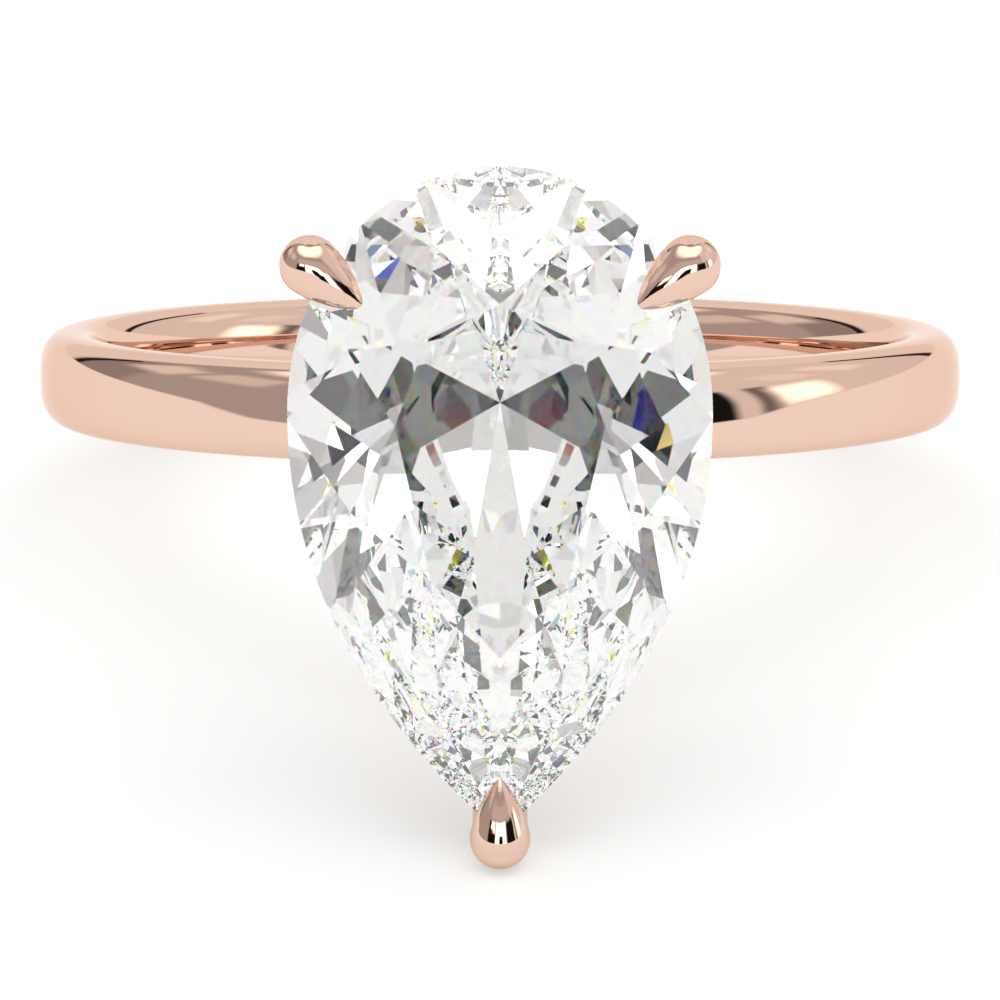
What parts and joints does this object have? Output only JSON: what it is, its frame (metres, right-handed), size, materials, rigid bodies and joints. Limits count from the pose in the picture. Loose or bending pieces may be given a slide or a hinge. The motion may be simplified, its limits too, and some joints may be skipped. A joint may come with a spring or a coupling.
{
  "type": "solitaire engagement ring",
  "caption": "Solitaire ring: a pear-shaped brilliant stone in claw prongs on two gallery rails, over a plain rounded rose-gold band.",
  "frame": {"origin": "centre of the finger hole", "axes": "+Y along the finger towards the stone's round end, +Z from the finger up through the stone, +X across the hand"},
  "size_m": [0.02, 0.0137, 0.0256],
  "materials": {
    "rose_gold": "mirror polished",
    "diamond": "polished facets"
  },
  "bodies": {
    "root": {"shank": "rose_gold", "head_base": "rose_gold", "lower_gallery_rail": "rose_gold", "upper_gallery_rail": "rose_gold", "left_claw_prong": "rose_gold", "right_claw_prong": "rose_gold", "point_claw_prong": "rose_gold", "pear_stone": "diamond"}
  },
  "joints": []
}
